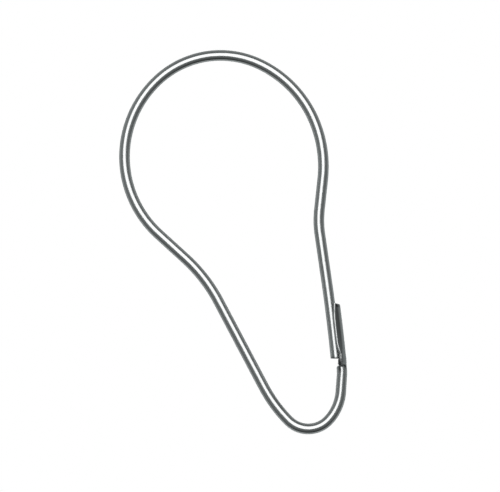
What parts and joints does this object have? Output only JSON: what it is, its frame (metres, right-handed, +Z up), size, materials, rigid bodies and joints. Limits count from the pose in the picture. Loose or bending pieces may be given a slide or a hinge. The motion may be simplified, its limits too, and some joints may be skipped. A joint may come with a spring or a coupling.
{
  "type": "shower curtain hook",
  "caption": "Pear-shaped spring-wire curtain hook whose free leg snaps into a curled catch formed from the wire's other end.",
  "frame": {"origin": "rod seat: the inside of the crown, where the hook bears on the curtain rod", "axes": "+Z up as the hook hangs, along its length; +X in the ring's plane towards the catch; +Y through the ring, along the rod"},
  "size_m": [0.0397, 0.0036, 0.0762],
  "materials": {
    "bright_wire": "bright nickel plate over drawn spring wire"
  },
  "bodies": {
    "root": {"hook_wire": "bright_wire"}
  },
  "joints": []
}
